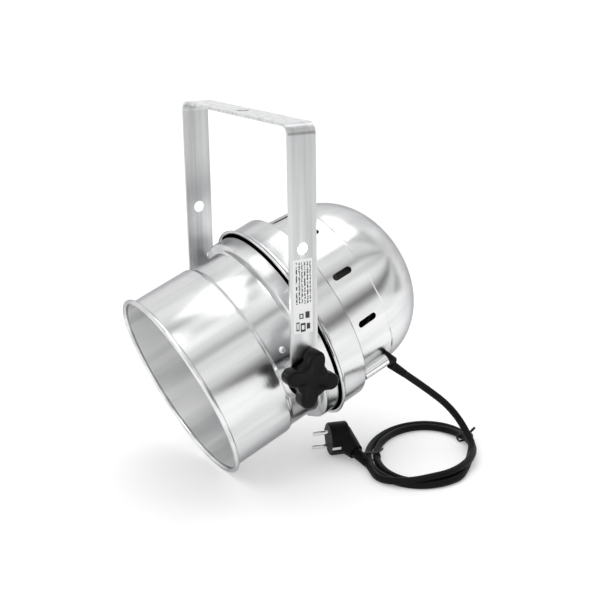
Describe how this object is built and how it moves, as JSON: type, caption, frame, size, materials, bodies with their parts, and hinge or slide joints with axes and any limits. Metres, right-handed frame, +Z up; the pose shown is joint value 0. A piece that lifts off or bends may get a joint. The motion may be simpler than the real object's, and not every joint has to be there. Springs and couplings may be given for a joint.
{
  "type": "par can stage light",
  "caption": "Polished spun-aluminium par can stage light in a flat-strip yoke, with tilt knobs, sealed-beam lamp and a coiled mains cord with plug.",
  "frame": {"origin": "middle of the hanging hole, on the top face of the yoke's crossbar", "axes": "+Z up along the hanging hole, +X along the tilt axis towards the labelled leg, -Y the side the beam leaves from"},
  "size_m": [0.3164, 0.3682, 0.3854],
  "materials": {
    "brushed_aluminium": "brushed along the strip",
    "label": null,
    "steel": "zinc plated",
    "polished_aluminium": "polished, with faint spinning rings",
    "aluminium": "satin",
    "black_rubber": "satin",
    "lamp_glass": "pressed, finely stippled",
    "lamp_mirror": "vacuum coated glass",
    "ceramic": "glazed steatite",
    "brass": "plain",
    "lead_sleeve": "glass fibre sleeve",
    "earth_sleeve": "green and yellow insulation",
    "cord_tie": "satin",
    "plug_plastic": "satin",
    "plug_metal": "nickel plated",
    "knob_plastic": "gloss"
  },
  "bodies": {
    "yoke": {"yoke": "brushed_aluminium", "rating_label": "label", "knob_washer_near": "steel", "knob_washer_far": "steel"},
    "head": {"front_barrel": "polished_aluminium", "rear_housing": "polished_aluminium", "rear_dome": "polished_aluminium", "pivot_plate_near": "steel", "pivot_plate_far": "steel", "pivot_nut_near": "steel", "pivot_nut_far": "steel", "pivot_spacer_near": "aluminium", "pivot_spacer_far": "aluminium", "friction_washer_near": "black_rubber", "friction_washer_far": "black_rubber", "pivot_rivets": "aluminium", "fixed_hook": "aluminium", "latch_bracket_bottom": "aluminium", "latch_bracket_far": "aluminium", "latch_pin_bottom": "steel", "latch_pin_far": "steel", "lamp_seat_ring": "steel", "lamp_spring_ring": "steel", "lamp_lens": "lamp_glass", "lamp_reflector": "lamp_mirror", "lamp_base": "ceramic", "lamp_prongs": "brass", "lamp_socket": "ceramic", "socket_leads": "lead_sleeve", "inner_cord": "black_rubber", "earth_lead": "earth_sleeve", "earth_screw": "brass", "terminal_block": "ceramic", "terminal_bracket": "steel", "terminal_screws": "steel", "cord_conduit": "polished_aluminium", "cord_gland": "black_rubber", "cord_relief": "black_rubber", "power_cord": "black_rubber", "cord_coil": "black_rubber", "cord_ties": "cord_tie", "plug_relief": "plug_plastic", "plug_body": "plug_plastic", "plug_pins": "plug_metal", "plug_earth_clips": "plug_metal"},
    "knob_near": {"knob_near": "knob_plastic", "stud_near": "steel"},
    "knob_far": {"knob_far": "knob_plastic", "stud_far": "steel"},
    "latch_bottom": {"latch_lever_bottom": "aluminium"},
    "latch_far": {"latch_lever_far": "aluminium"}
  },
  "joints": [
    {"name": "tilt", "type": "hinge", "parent": "yoke", "child": "head", "pos_m": [0, 0, -0.25], "axis": [1, 0, 0], "range_deg": [-67, 67]},
    {"name": "knob_near_turn", "type": "hinge", "parent": "yoke", "child": "knob_near", "pos_m": [0.13, 0, -0.25], "axis": [1, 0, 0], "continuous": true},
    {"name": "knob_far_turn", "type": "hinge", "parent": "yoke", "child": "knob_far", "pos_m": [-0.13, 0, -0.25], "axis": [-1, 0, 0], "continuous": true},
    {"name": "latch_bottom_swing", "type": "hinge", "parent": "head", "child": "latch_bottom", "pos_m": [0, 0.06999, -0.34424], "axis": [-1, 0, 0], "range_deg": [0, 70]},
    {"name": "latch_far_swing", "type": "hinge", "parent": "head", "child": "latch_far", "pos_m": [-0.09104, -0.00077, -0.1759], "axis": [0.6018, -0.3095, 0.7362], "range_deg": [0, 70]}
  ]
}
